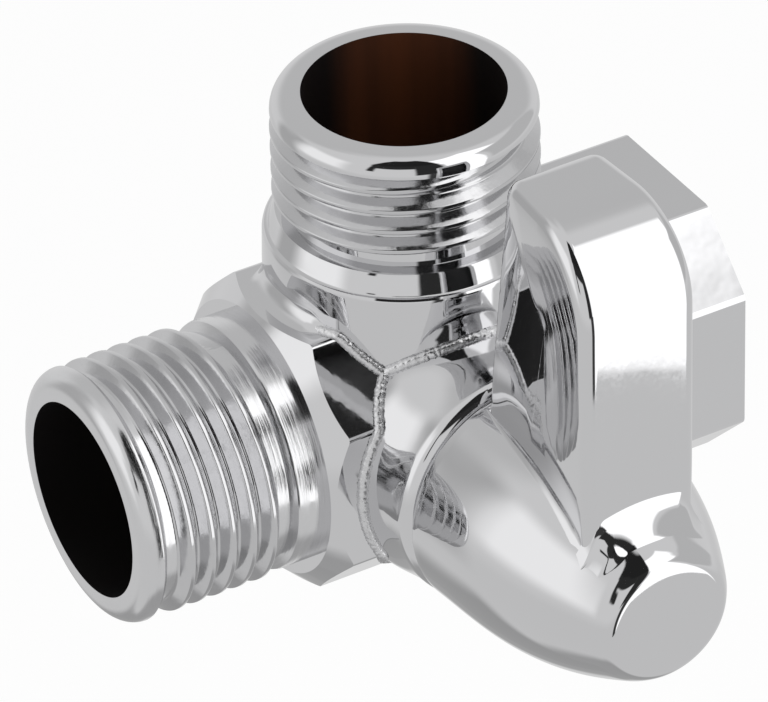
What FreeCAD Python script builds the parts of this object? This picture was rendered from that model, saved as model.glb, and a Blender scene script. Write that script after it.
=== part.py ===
import FreeCAD, Part
import math
import os

# Quarter-turn diverter valve for a shower: one female inlet, two male outlets and a lever.
# Millimetres, +Z up. The ports are laid out about the point where their axes cross;
# the finished pieces are then shifted so that the frame's origin is the centre of the inlet's mouth.

Vector = FreeCAD.Vector

TOWARDS_INLET = Vector(1, 0, 0)
TOWARDS_THROUGH = Vector(-1, 0, 0)
TOWARDS_BRANCH = Vector(0, 0, 1)
TOWARDS_FRONT = Vector(0, -1, 0)
TOWARDS_SCREW = Vector(0, 0, -1)

# Reach of each port from the crossing of the axes
inlet_reach = 23.9
through_reach = 29.6
branch_reach = 27.6
boss_reach = 17.0

# Half-inch pipe thread: the outlets are left plain at the crests, the inlet plain at its crests
male_crest_r = 10.48
female_crest_r = 9.32
outlet_bore_r = 8.0
through_thread = 13.2
branch_thread = 8.7
end_chamfer = 1.1
mouth_lip_r = 9.9

# Forged body: an eight-sided bar along the inlet axis, with an upright neck and a front boss
flats_across = 23.2
flats_side = 12.0
flats_edge_round = 0.5
shoulder = 13.9
shoulder_r = 11.3
through_neck_r = 10.28
neck_r = 11.4
neck_top = 16.5
neck_round = 0.8
branch_relief_r = 10.0
boss_root = 6.0
boss_root_r = 11.5
boss_end_r = 10.9
boss_end_round = 1.0

# Bore for the ball and its seats
ball_r = 8.3
ball_bore_r = 4.1
cavity_r = 8.8
pocket_r = 6.25
pocket_depth = 12.6
relief_r = 9.65
relief_length = 2.2
thread_slack = 0.05
ball_slack = 0.06

# Seat, backing ring and outlet bush, along each port from the crossing
seat_front = 6.3
seat_back = 8.6
seat_r = 6.2
seat_bore_r = 4.2
seat_contact_r = 5.0
backing_end = 9.9
backing_slack = 0.03
bush_flange_r = 7.6
bush_flange = 1.3
bush_mouth_r = 5.4
spanner_slot = 1.6
spanner_depth = 1.0

# Inlet washer
washer_outer_r = 9.2
washer_bore_r = 5.6
washer_thickness = 1.8

# Front bore, stem and gland
stem_r = 4.5
stem_slack = 0.07
collar_r = 5.8
collar_hole_r = 5.9
collar_start = 8.95
collar_end = 10.7
ledge = 11.2
gland_bore_r = 7.3
packing_end = 12.0
ring_wire_r = 0.65
ring_groove_floor_r = 3.2
ring_groove_width = 1.5
ring_spacing = 2.1
ring_names = ("stem_ring_inner", "stem_ring_outer")
tang_width = 3.1
tang_length = 7.4
tang_slot_slack = 0.1
tang_start = 6.15
tang_slot_floor = 5.95
washer_gap = 0.05
gland_slot = 2.0
gland_slot_depth = 1.4

# Square drive
drive_across = 6.4
drive_slack = 0.05
drive_length = 10.0

# Handle: a bullet hub with an upright lever blade, cast in one
# The insets are measured back from the tip of the nose, and the setbacks forward from the hub's back face
handle_gap = 0.4
hub_length = 21.5
hub_back_r = 10.3
hub_back_round = 0.5
hub_waist_inset = 12.9
hub_waist_r = 9.65
hub_brow_inset = 6.7
hub_brow_r = 8.08
hub_cheek_inset = 2.7
hub_cheek_r = 6.3
hub_chin_inset = 1.4
hub_chin_r = 5.5
hub_rise = 1.9
blade_back_thickness = 7.4
blade_front_thickness = 9.7
blade_front_inset = 4.6
blade_top = 33.1
blade_heel_setback = 0.5
blade_heel_z = 10.0
blade_back_setback = 4.2
blade_front_round = 7.5
blade_back_round = 1.8
blade_edge_round = 1.0
flare_r = 10.2
flare_inset = 1.2
flare_end_r = 5.6
hub_back = boss_reach + handle_gap
hub_nose = hub_back + hub_length
blade_front = hub_nose - blade_front_inset

# Grub screw under the hub
screw_r = 2.0
screw_length = 6.0
screw_setback = 5.6
screw_key_across = 2.0
screw_key_depth = 2.4
screw_slack = 0.05

# Stop pin in the boss and its quarter-circle groove in the hub
pin_r = 0.75
pin_circle_r = 8.8
pin_sunk = 3.0
pin_proud = 1.7
pin_angle = 135.0
pin_slack = 0.02
groove_slack = 0.25
groove_depth = 1.6
quarter_turn = 90.0

# Glide washer between the gland and the hub
glide_bore_r = 4.75
glide_r = 7.4


def aim(shape, direction):
    """Turns a shape that was built along +Z so that it runs along the direction."""
    turned_shape = shape.copy()
    turned_shape.Placement = FreeCAD.Placement(Vector(), FreeCAD.Rotation(Vector(0, 0, 1), direction))
    return turned_shape


def revolve_edges(edges, direction):
    face = Part.Face(Part.Wire(edges))
    solid = face.revolve(Vector(), Vector(0, 0, 1), 360)
    return aim(solid, direction)


def turned(profile, direction):
    """A turned solid. The profile lists (distance along the axis, radius) round its section."""
    points = [Vector(radius, 0, along) for along, radius in profile]
    edges = [Part.LineSegment(a, b).toShape() for a, b in zip(points, points[1:] + points[:1])]
    return revolve_edges(edges, direction)


def rod(radius, start, end, direction):
    return aim(Part.makeCylinder(radius, end - start, Vector(0, 0, start)), direction)


def tube(outer, inner, start, end, direction):
    return rod(outer, start, end, direction).cut(rod(inner, start, end, direction))


def bar(width, height, start, end, direction):
    """A rectangular bar centred on the axis."""
    box = Part.makeBox(width, height, end - start, Vector(-width / 2, -height / 2, start))
    return aim(box, direction)


def hexagon(across, start, end, direction):
    corner = across / math.sqrt(3)
    points = []
    for k in range(7):
        angle = math.radians(60 * k)
        points.append(Vector(corner * math.cos(angle), corner * math.sin(angle), start))
    prism = Part.Face(Part.makePolygon(points)).extrude(Vector(0, 0, end - start))
    return aim(prism, direction)


def eight_sided_bar():
    """The body's bar: a square with its corners taken off, chamfered at the through outlet's end."""
    half = flats_across / 2
    side = flats_side / 2
    corners = [
        (side, half), (-side, half), (-half, side), (-half, -side),
        (-side, -half), (side, -half), (half, -side), (half, side),
    ]
    points = [Vector(-shoulder, y, z) for y, z in corners]
    prism = Part.Face(Part.makePolygon(points + points[:1])).extrude(Vector(shoulder + inlet_reach, 0, 0))
    long_edges = [e for e in prism.Edges if abs(e.tangentAt(e.FirstParameter).x) > 0.99]
    prism = prism.makeFillet(flats_edge_round, long_edges)
    chamfer = turned(
        [
            (shoulder, 0),
            (shoulder, shoulder_r),
            (shoulder - half, shoulder_r + half),
            (-inlet_reach, shoulder_r + half),
            (-inlet_reach, 0),
        ],
        TOWARDS_THROUGH,
    )
    return prism.common(chamfer)


def through_outlet():
    """The plain neck and the through outlet's thread blank."""
    thread_start = through_reach - through_thread
    return turned(
        [
            (0, 0),
            (0, through_neck_r),
            (thread_start, through_neck_r),
            (thread_start + 0.2, male_crest_r),
            (through_reach - end_chamfer, male_crest_r),
            (through_reach, mouth_lip_r),
            (through_reach, 0),
        ],
        TOWARDS_THROUGH,
    )


def branch_outlet():
    """The upright neck, its rounded ledge, the thread relief and the branch outlet's thread blank."""
    thread_start = branch_reach - branch_thread
    ledge_r = neck_r - neck_round
    rounding = Part.Arc(
        Vector(neck_r, 0, neck_top - neck_round),
        Vector(ledge_r + neck_round * math.sin(math.pi / 4), 0, neck_top - neck_round * (1 - math.sin(math.pi / 4))),
        Vector(ledge_r, 0, neck_top),
    )
    points = [
        Vector(ledge_r, 0, neck_top),
        Vector(branch_relief_r, 0, thread_start - 0.7),
        Vector(branch_relief_r, 0, thread_start - 0.2),
        Vector(male_crest_r, 0, thread_start),
        Vector(male_crest_r, 0, branch_reach - end_chamfer),
        Vector(mouth_lip_r, 0, branch_reach),
        Vector(0, 0, branch_reach),
        Vector(0, 0, 0),
        Vector(neck_r, 0, 0),
        Vector(neck_r, 0, neck_top - neck_round),
    ]
    edges = [rounding.toShape()]
    edges += [Part.LineSegment(a, b).toShape() for a, b in zip(points, points[1:])]
    return revolve_edges(edges, TOWARDS_BRANCH)


def front_boss():
    """Slightly tapered boss, rounded over at its end, which the hub of the handle all but touches."""
    boss = turned(
        [(0, 0), (0, boss_root_r), (boss_root, boss_root_r), (boss_reach, boss_end_r), (boss_reach, 0)],
        TOWARDS_FRONT,
    )
    end_rim = [e for e in boss.Edges if e.BoundBox.YMax < 0.1 - boss_reach and e.Length > boss_end_r]
    return boss.makeFillet(boss_end_round, end_rim)


def pin_place():
    """Centre of the stop pin, seen along the stem axis."""
    angle = math.radians(pin_angle)
    return Vector(pin_circle_r * math.sin(angle), 0, pin_circle_r * math.cos(angle))


def pin_rod(radius, start, end):
    pin = rod(radius, start, end, TOWARDS_FRONT)
    pin.translate(pin_place())
    return pin


def valve_body():
    body = eight_sided_bar().fuse([through_outlet(), branch_outlet(), front_boss()])
    hollow = Part.makeSphere(cavity_r).fuse([
        rod(cavity_r, 0, pocket_depth, TOWARDS_INLET),
        rod(relief_r, pocket_depth, pocket_depth + relief_length, TOWARDS_INLET),
        rod(female_crest_r, pocket_depth + relief_length, inlet_reach, TOWARDS_INLET),
        rod(pocket_r, 0, pocket_depth, TOWARDS_THROUGH),
        rod(outlet_bore_r, pocket_depth, through_reach, TOWARDS_THROUGH),
        rod(pocket_r, 0, pocket_depth, TOWARDS_BRANCH),
        rod(outlet_bore_r, pocket_depth, branch_reach, TOWARDS_BRANCH),
        rod(collar_hole_r, 0, ledge, TOWARDS_FRONT),
        rod(gland_bore_r, ledge, boss_reach, TOWARDS_FRONT),
        pin_rod(pin_r + pin_slack, boss_reach - pin_sunk, boss_reach),
    ])
    return body.cut(hollow).removeSplitter()


def ball():
    """Ball with a T-shaped passage: open up, down and to the inlet, blank to the through outlet."""
    sphere = Part.makeSphere(ball_r)
    slot_width = tang_width + 2 * tang_slot_slack
    passages = [
        rod(ball_bore_r, 0, ball_r, TOWARDS_INLET),
        rod(ball_bore_r, -ball_r, ball_r, TOWARDS_BRANCH),
        bar(slot_width, 2 * ball_r, tang_slot_floor, ball_r, TOWARDS_FRONT),
    ]
    return sphere.cut(passages)


def seat(direction):
    """Ring whose cone just clears the ball round the contact circle."""
    contact_along = math.sqrt(ball_r ** 2 - seat_contact_r ** 2)
    reach = ball_r * (ball_r + ball_slack)
    bore_start = (reach - seat_contact_r * seat_bore_r) / contact_along
    front_r = (reach - contact_along * seat_front) / seat_contact_r
    return turned(
        [
            (seat_front, front_r),
            (bore_start, seat_bore_r),
            (seat_back, seat_bore_r),
            (seat_back, seat_r),
            (seat_front, seat_r),
        ],
        direction,
    )


def backing_ring(direction):
    wire_r = (backing_end - seat_back) / 2 - backing_slack
    middle = (backing_end + seat_back) / 2
    return aim(Part.makeTorus(pocket_r - wire_r - backing_slack, wire_r, Vector(0, 0, middle)), direction)


def spanner_slots(radius, end, direction):
    return bar(spanner_slot, 2 * radius, end - spanner_depth, end, direction)


def outlet_bush(direction):
    """Screwed bush that holds a seat in its pocket, with a flange on the bore's step."""
    end = pocket_depth + bush_flange
    bush = turned(
        [
            (backing_end, seat_bore_r),
            (pocket_depth, seat_bore_r),
            (end, bush_mouth_r),
            (end, bush_flange_r),
            (pocket_depth, bush_flange_r),
            (pocket_depth, pocket_r - thread_slack),
            (backing_end, pocket_r - thread_slack),
        ],
        direction,
    )
    return bush.cut(spanner_slots(bush_flange_r, end, direction))


def inlet_carrier():
    """Screwed plug that closes the ball's bore and carries the inlet seat in its own pocket."""
    carrier = turned(
        [
            (seat_front, pocket_r),
            (backing_end, pocket_r),
            (backing_end, seat_bore_r),
            (pocket_depth - spanner_depth, seat_bore_r),
            (pocket_depth, bush_mouth_r),
            (pocket_depth, cavity_r - thread_slack),
            (seat_front, cavity_r - thread_slack),
        ],
        TOWARDS_INLET,
    )
    return carrier.cut(spanner_slots(cavity_r, pocket_depth, TOWARDS_INLET))


def inlet_washer():
    return tube(washer_outer_r, washer_bore_r, pocket_depth, pocket_depth + washer_thickness, TOWARDS_INLET)


def ring_positions():
    """The two stem rings lie either side of the middle of the gland."""
    middle = (packing_end + boss_reach) / 2
    return middle - ring_spacing / 2, middle + ring_spacing / 2


def stem():
    """Turned stem with its tang, collar, two ring grooves and square drive."""
    end = boss_reach + drive_length
    shaft = rod(stem_r, collar_end, end, TOWARDS_FRONT)
    square = bar(drive_across, drive_across, boss_reach, end, TOWARDS_FRONT)
    shaft = shaft.cut(rod(stem_r, boss_reach, end, TOWARDS_FRONT).cut(square))
    for middle in ring_positions():
        low = middle - ring_groove_width / 2
        high = middle + ring_groove_width / 2
        shaft = shaft.cut(tube(stem_r + 1, ring_groove_floor_r, low, high, TOWARDS_FRONT))
    collar = rod(collar_r, collar_start, collar_end, TOWARDS_FRONT)
    tang = bar(tang_width, tang_length, tang_start, collar_start, TOWARDS_FRONT)
    return shaft.fuse([collar, tang]).removeSplitter()


def stem_ring(middle):
    return aim(Part.makeTorus(ring_groove_floor_r + ring_wire_r + 0.01, ring_wire_r, Vector(0, 0, middle)), TOWARDS_FRONT)


def thrust_washer():
    return tube(collar_r, stem_r + stem_slack, collar_end + washer_gap, packing_end, TOWARDS_FRONT)


def packing_washer():
    return tube(gland_bore_r - thread_slack, collar_r + 2 * thread_slack, ledge, packing_end, TOWARDS_FRONT)


def gland_nut():
    gland = tube(gland_bore_r - thread_slack, stem_r + stem_slack, packing_end, boss_reach, TOWARDS_FRONT)
    slot = bar(2 * gland_bore_r, gland_slot, boss_reach - gland_slot_depth, boss_reach, TOWARDS_FRONT)
    return gland.cut(slot)


def glide_washer():
    start = boss_reach + washer_gap
    return tube(glide_r, glide_bore_r, start, hub_back - washer_gap, TOWARDS_FRONT)


def stop_pin():
    return pin_rod(pin_r, boss_reach - pin_sunk, boss_reach + pin_proud)


def stop_groove():
    """Quarter-circle groove. The pin lies at one end at rest and at the other after the turn."""
    half = pin_r + groove_slack
    points = [
        Vector(pin_circle_r - half, -hub_back, 0),
        Vector(pin_circle_r + half, -hub_back, 0),
        Vector(pin_circle_r + half, -hub_back - groove_depth, 0),
        Vector(pin_circle_r - half, -hub_back - groove_depth, 0),
    ]
    section = Part.Face(Part.makePolygon(points + points[:1]))
    groove = section.revolve(Vector(), Vector(0, 1, 0), quarter_turn)
    groove.rotate(Vector(), Vector(0, 1, 0), pin_angle - 90 - quarter_turn)
    ends = []
    for turn in (0, quarter_turn):
        end = pin_rod(half, hub_back, hub_back + groove_depth)
        end.rotate(Vector(), Vector(0, 1, 0), -turn)
        ends.append(end)
    return groove.fuse(ends)


def handle_hub():
    """Bullet-shaped hub whose own axis rises a little towards its blunt nose."""
    taper = (hub_back_r - hub_waist_r) / (hub_length - hub_waist_inset)
    overrun = 2 * hub_back_r * math.sin(math.radians(hub_rise))
    root = Vector(hub_back_r + overrun * taper, 0, hub_back - overrun)
    tip = Vector(0, 0, hub_nose)
    skin = Part.BSplineCurve()
    skin.interpolate(
        [
            root,
            Vector(hub_waist_r, 0, hub_nose - hub_waist_inset),
            Vector(hub_brow_r, 0, hub_nose - hub_brow_inset),
            Vector(hub_cheek_r, 0, hub_nose - hub_cheek_inset),
            Vector(hub_chin_r, 0, hub_nose - hub_chin_inset),
            tip,
        ],
        InitialTangent=Vector(-taper, 0, 1) * hub_length,
        FinalTangent=Vector(-hub_chin_r, 0, 0),
    )
    axis = Part.LineSegment(tip, Vector(0, 0, root.z))
    end = Part.LineSegment(Vector(0, 0, root.z), root)
    hub = revolve_edges([skin.toShape(), axis.toShape(), end.toShape()], TOWARDS_FRONT)
    hub.rotate(Vector(0, -hub_back, 0), Vector(1, 0, 0), -hub_rise)
    hub = hub.common(rod(2 * hub_back_r, hub_back, hub_nose + overrun, TOWARDS_FRONT)).Solids[0]
    back_rim = [e for e in hub.Edges if e.CenterOfMass.y > -0.01 - hub_back]
    return hub.makeFillet(hub_back_round, back_rim)


def corner_arc(corner, before, after, radius):
    """Arc of the given radius tangent to the two lines that meet at the corner."""
    to_before = (before - corner).normalize()
    to_after = (after - corner).normalize()
    half = to_before.getAngle(to_after) / 2
    setback = radius / math.tan(half)
    bisector = (to_before + to_after).normalize()
    centre = corner + bisector * (radius / math.sin(half))
    return Part.Arc(corner + to_before * setback, centre - bisector * radius, corner + to_after * setback)


def blade_outline():
    """Side view of the lever blade, in the plane of the stem axis."""
    low = hub_back + blade_heel_setback
    foot = Vector(0, -low, 0)
    heel = Vector(0, -low, blade_heel_z)
    back_top = Vector(0, -hub_back - blade_back_setback, blade_top)
    front_top = Vector(0, -blade_front, blade_top)
    front_foot = Vector(0, -blade_front, 0)
    rear = corner_arc(back_top, heel, front_top, blade_back_round)
    brow = corner_arc(front_top, back_top, front_foot, blade_front_round)
    edges = [
        Part.LineSegment(foot, heel).toShape(),
        Part.LineSegment(heel, rear.StartPoint).toShape(),
        rear.toShape(),
        Part.LineSegment(rear.EndPoint, brow.StartPoint).toShape(),
        brow.toShape(),
        Part.LineSegment(brow.EndPoint, front_foot).toShape(),
        Part.LineSegment(front_foot, foot).toShape(),
    ]
    return Part.Wire(edges)


def blade_flare():
    """The blade's front face sweeps out to meet the nose of the hub in a hollow curve."""
    flare_end = hub_nose - flare_inset
    sweep = Part.BezierCurve()
    sweep.setPoles([
        Vector(flare_r, 0, blade_front),
        Vector((flare_r + 2 * flare_end_r) / 3, 0, blade_front + 0.15),
        Vector(flare_end_r, 0, flare_end),
    ])
    points = [
        Vector(flare_end_r, 0, flare_end),
        Vector(0, 0, flare_end),
        Vector(0, 0, hub_back + blade_back_setback),
        Vector(flare_r, 0, hub_back + blade_back_setback),
        Vector(flare_r, 0, blade_front),
    ]
    edges = [sweep.toShape()] + [Part.LineSegment(a, b).toShape() for a, b in zip(points, points[1:])]
    return revolve_edges(edges, TOWARDS_FRONT)


def blade_plan():
    """The blade seen from above, thicker towards the front."""
    back_half = blade_back_thickness / 2
    taper = (blade_front_thickness - blade_back_thickness) / 2 / (blade_front - hub_back)
    nose_half = back_half + taper * hub_length
    points = [
        Vector(back_half, -hub_back, 0),
        Vector(nose_half, -hub_nose, 0),
        Vector(-nose_half, -hub_nose, 0),
        Vector(-back_half, -hub_back, 0),
    ]
    return Part.Face(Part.makePolygon(points + points[:1])).extrude(Vector(0, 0, blade_top))


def lever_blade():
    side = Part.Face(blade_outline()).extrude(Vector(2 * blade_front_thickness, 0, 0))
    side.translate(Vector(-blade_front_thickness, 0, 0))
    blade = side.fuse(blade_flare()).common(blade_plan()).removeSplitter().Solids[0]
    rim = []
    for edge in blade.Edges:
        faces = blade.ancestorsOfType(edge, Part.Face)
        flanks = [f for f in faces if isinstance(f.Surface, Part.Plane) and abs(f.normalAt(0, 0).x) > 0.9]
        if len(flanks) == 1 and edge.BoundBox.ZMax > 0.5:
            rim.append(edge)
    return blade.makeFillet(blade_edge_round, rim)


def screw_rod(radius, start, end):
    shape = rod(radius, start, end, TOWARDS_SCREW)
    shape.translate(Vector(0, -hub_back - screw_setback, 0))
    return shape


def handle():
    socket = drive_across + 2 * drive_slack
    cast = handle_hub().fuse(lever_blade()).removeSplitter()
    cuts = [
        bar(socket, socket, hub_back, boss_reach + drive_length + drive_slack, TOWARDS_FRONT),
        screw_rod(screw_r, 0, hub_back_r + 1),
        stop_groove(),
    ]
    return cast.cut(cuts)


def handle_screw():
    start = drive_across / 2 + drive_slack
    end = start + screw_length
    screw = screw_rod(screw_r - screw_slack, start, end)
    key = hexagon(screw_key_across, end - screw_key_depth, end, TOWARDS_SCREW)
    key.translate(Vector(0, -hub_back - screw_setback, 0))
    return screw.cut(key)


def build():
    pieces = {
        "valve_body": valve_body(),
        "ball": ball(),
        "inlet_carrier": inlet_carrier(),
        "inlet_washer": inlet_washer(),
        "stem": stem(),
        "thrust_washer": thrust_washer(),
        "packing_washer": packing_washer(),
        "gland_nut": gland_nut(),
        "glide_washer": glide_washer(),
        "stop_pin": stop_pin(),
        "handle": handle(),
        "handle_screw": handle_screw(),
    }
    ports = {"inlet": TOWARDS_INLET, "through": TOWARDS_THROUGH, "branch": TOWARDS_BRANCH}
    for port, direction in ports.items():
        pieces["seat_" + port] = seat(direction)
        pieces["backing_ring_" + port] = backing_ring(direction)
        if port != "inlet":
            pieces["bush_" + port] = outlet_bush(direction)
    for name, middle in zip(ring_names, ring_positions()):
        pieces[name] = stem_ring(middle)
    return pieces


def main():
    os.makedirs("parts", exist_ok=True)
    for name, shape in build().items():
        shape.translate(Vector(-inlet_reach, 0, 0))
        shape.exportStep("parts/" + name + ".step")
        box = shape.BoundBox
        print(f"{name}: {len(shape.Solids)} solid, {shape.Volume:.1f} mm3, valid {shape.isValid()}, "
              f"x {box.XMin:.2f} {box.XMax:.2f}, y {box.YMin:.2f} {box.YMax:.2f}, z {box.ZMin:.2f} {box.ZMax:.2f}")


main()
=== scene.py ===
import math

import bmesh
import bpy
from mathutils import Matrix, Vector, noise
from mathutils.geometry import interpolate_bezier


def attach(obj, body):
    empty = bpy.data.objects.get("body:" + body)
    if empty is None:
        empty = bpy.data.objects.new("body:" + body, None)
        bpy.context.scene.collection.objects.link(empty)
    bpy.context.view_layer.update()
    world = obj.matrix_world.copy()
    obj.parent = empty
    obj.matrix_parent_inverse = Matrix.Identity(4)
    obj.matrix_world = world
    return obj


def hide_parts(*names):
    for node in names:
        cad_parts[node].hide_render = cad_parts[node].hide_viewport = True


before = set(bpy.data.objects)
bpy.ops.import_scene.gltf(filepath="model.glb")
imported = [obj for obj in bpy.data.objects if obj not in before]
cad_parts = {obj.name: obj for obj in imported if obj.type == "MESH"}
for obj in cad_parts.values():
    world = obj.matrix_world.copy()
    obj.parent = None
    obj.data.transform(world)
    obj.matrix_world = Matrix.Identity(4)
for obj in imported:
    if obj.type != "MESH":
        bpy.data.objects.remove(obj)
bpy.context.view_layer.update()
print("frame loaded:", len(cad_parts), "nodes")

# pieces are drawn in millimetres about the point where the three ports cross, then put in the frame
common = {
    "inletReach": 23.9,  # crossing to the inlet's mouth, which is the frame's origin
    "pitch": 1.8143,  # half-inch pipe thread
    "crest": 10.48,
    "root": 9.42,
}
intoFrame = Matrix.Scale(0.001, 4) @ Matrix.Translation((-common["inletReach"], 0, 0))

toInlet = Vector((1, 0, 0))
toThrough = Vector((-1, 0, 0))
toBranch = Vector((0, 0, 1))
toFront = Vector((0, -1, 0))
toScrew = Vector((0, 0, -1))


def newMesh(name, bm, materials=(), place=True):
    if place:
        bm.transform(intoFrame)
    mesh = bpy.data.meshes.new(name)
    bm.to_mesh(mesh)
    bm.free()
    for material in materials:
        mesh.materials.append(material)
    obj = bpy.data.objects.new(name, mesh)
    bpy.context.scene.collection.objects.link(obj)
    return obj


def aimed(direction):
    return Vector((0, 0, 1)).rotation_difference(direction).to_matrix().to_4x4()


def outlineLoop(bm, points, closed=False):
    verts = [bm.verts.new((r, 0, along)) for along, r in points]
    edges = [bm.edges.new(pair) for pair in zip(verts, verts[1:])]
    if closed:
        edges.append(bm.edges.new((verts[-1], verts[0])))
    return verts, edges


def smoothFaces(bm):
    for face in bm.faces:
        face.smooth = True


def arc(centre, radius, first, last, step):
    # points of a quarter round as (along, out), the angle counted from straight out
    return [(centre[0] + radius * math.sin(math.radians(t)), centre[1] + radius * math.cos(math.radians(t)))
            for t in range(first, last + 1, step)]


def lathe(points, direction, steps=256):
    # points run along the axis as (distance, radius); the ends lie on the axis
    bm = bmesh.new()
    verts, edges = outlineLoop(bm, points)
    bmesh.ops.spin(bm, geom=verts + edges, cent=(0, 0, 0), axis=(0, 0, 1), angle=math.tau,
                   steps=steps, use_merge=True)
    bmesh.ops.remove_doubles(bm, verts=bm.verts[:], dist=0.0005)
    bmesh.ops.recalc_face_normals(bm, faces=bm.faces[:])
    bmesh.ops.transform(bm, matrix=aimed(direction), verts=bm.verts[:])
    smoothFaces(bm)
    return bm


def rounded(points, corners):
    # rounds the numbered corners of a flat outline: {index: (radius, segments)}
    done = []
    for i, point in enumerate(points):
        if i not in corners:
            done.append(Vector(point))
            continue
        radius, segments = corners[i]
        corner = Vector(point)
        before = (Vector(points[i - 1]) - corner).normalized()
        after = (Vector(points[(i + 1) % len(points)]) - corner).normalized()
        half = before.angle(after) / 2
        centre = corner + (before + after).normalized() * radius / math.sin(half)
        start = corner + before * radius / math.tan(half) - centre
        end = corner + after * radius / math.tan(half) - centre
        sweep = math.atan2(start.x * end.y - start.y * end.x, start.dot(end))
        for k in range(segments + 1):
            turn = sweep * k / segments
            done.append(centre + Matrix.Rotation(turn, 2) @ start)
    return done


def smoothStep(t):
    t = max(0.0, min(1.0, t))
    return t * t * (3 - 2 * t)


def combine(target, tools):
    # one exact boolean after another, each taken from the evaluated mesh
    for operation, bm, material in tools:
        tool = newMesh("tool", bm, [material] if material else [], place=False)
        modifier = target.modifiers.new("cut", "BOOLEAN")
        modifier.operation = operation
        modifier.solver = "EXACT"
        modifier.material_mode = "TRANSFER"
        modifier.object = tool
        bpy.context.view_layer.update()
        mesh = bpy.data.meshes.new_from_object(target.evaluated_get(bpy.context.evaluated_depsgraph_get()))
        target.modifiers.clear()
        old = target.data
        target.data = mesh
        bpy.data.meshes.remove(old)
        spent = tool.data
        bpy.data.objects.remove(tool)
        bpy.data.meshes.remove(spent)


def finishSmooth(obj, sharpDegrees):
    obj.data.polygons.foreach_set("use_smooth", [True] * len(obj.data.polygons))
    obj.data.set_sharp_from_angle(angle=math.radians(sharpDegrees))
    weighted = obj.modifiers.new("even shading", "WEIGHTED_NORMAL")
    weighted.keep_sharp = True
    weighted.weight = 50


def dress(obj, body, slot, *nodes):
    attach(obj, body)
    if nodes:
        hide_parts(*nodes)


def nodeGroup(name, inputs, outputs):
    group = bpy.data.node_groups.new(name, "ShaderNodeTree")
    for label, kind, value in inputs:
        socket = group.interface.new_socket(name=label, in_out="INPUT", socket_type=kind)
        if value is not None:
            socket.default_value = value
    for label, kind in outputs:
        group.interface.new_socket(name=label, in_out="OUTPUT", socket_type=kind)
    return group, group.nodes.new("NodeGroupInput"), group.nodes.new("NodeGroupOutput")


def addNode(tree, kind, settings=None, **values):
    node = tree.nodes.new(kind)
    for key, value in (settings or {}).items():
        setattr(node, key, value)
    for key, value in values.items():
        node.inputs[key.replace("_", " ")].default_value = value
    return node


def makePolishGroup():
    # roughness that wanders with the polishing, and the slight waves of a hand-polished forging
    group, source, sink = nodeGroup(
        "polishMarks",
        [("Patch Size", "NodeSocketFloat", 180.0), ("Fine Size", "NodeSocketFloat", 2600.0),
         ("Low", "NodeSocketFloat", 0.03), ("High", "NodeSocketFloat", 0.09)],
        [("Roughness", "NodeSocketFloat"), ("Height", "NodeSocketFloat")])
    link = group.links.new
    where = addNode(group, "ShaderNodeTexCoord")
    patch = addNode(group, "ShaderNodeTexNoise", Detail=3.0, Roughness=0.55)
    fine = addNode(group, "ShaderNodeTexNoise", Detail=4.0, Roughness=0.6)
    link(where.outputs["Object"], patch.inputs["Vector"])
    link(where.outputs["Object"], fine.inputs["Vector"])
    link(source.outputs["Patch Size"], patch.inputs["Scale"])
    link(source.outputs["Fine Size"], fine.inputs["Scale"])
    blend = addNode(group, "ShaderNodeMath", {"operation": "MULTIPLY"})
    link(patch.outputs["Fac"], blend.inputs[0])
    link(fine.outputs["Fac"], blend.inputs[1])
    spread = addNode(group, "ShaderNodeMapRange")
    spread.inputs["From Min"].default_value = 0.15
    spread.inputs["From Max"].default_value = 0.38
    link(blend.outputs[0], spread.inputs["Value"])
    link(source.outputs["Low"], spread.inputs["To Min"])
    link(source.outputs["High"], spread.inputs["To Max"])
    link(spread.outputs["Result"], sink.inputs["Roughness"])
    link(patch.outputs["Fac"], sink.inputs["Height"])
    return group


def makeLinesGroup():
    # fine lines left by the lathe: the vector is squeezed so that the noise draws rings about the axis
    group, source, sink = nodeGroup(
        "turningLines",
        [("Vector", "NodeSocketVector", None),
         ("Low", "NodeSocketFloat", 0.2), ("High", "NodeSocketFloat", 0.4)],
        [("Roughness", "NodeSocketFloat"), ("Height", "NodeSocketFloat")])
    link = group.links.new
    lines = addNode(group, "ShaderNodeTexNoise", Scale=1.0, Detail=3.0, Roughness=0.6)
    link(source.outputs["Vector"], lines.inputs["Vector"])
    spread = addNode(group, "ShaderNodeMapRange")
    spread.inputs["From Min"].default_value = 0.3
    spread.inputs["From Max"].default_value = 0.7
    link(lines.outputs["Fac"], spread.inputs["Value"])
    link(source.outputs["Low"], spread.inputs["To Min"])
    link(source.outputs["High"], spread.inputs["To Max"])
    link(spread.outputs["Result"], sink.inputs["Roughness"])
    link(lines.outputs["Fac"], sink.inputs["Height"])
    return group


polishGroup = makePolishGroup()
linesGroup = makeLinesGroup()


def newMaterial(name, **values):
    material = bpy.data.materials.new(name)
    material.use_nodes = True
    tree = material.node_tree
    shader = tree.nodes["Principled BSDF"]
    for key, value in values.items():
        shader.inputs[key.replace("_", " ")].default_value = value
    return material, tree, shader


def addBump(tree, shader, height, distance):
    bump = addNode(tree, "ShaderNodeBump", Distance=distance, Strength=1.0)
    tree.links.new(height, bump.inputs["Height"])
    tree.links.new(bump.outputs["Normal"], shader.inputs["Normal"])


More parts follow.
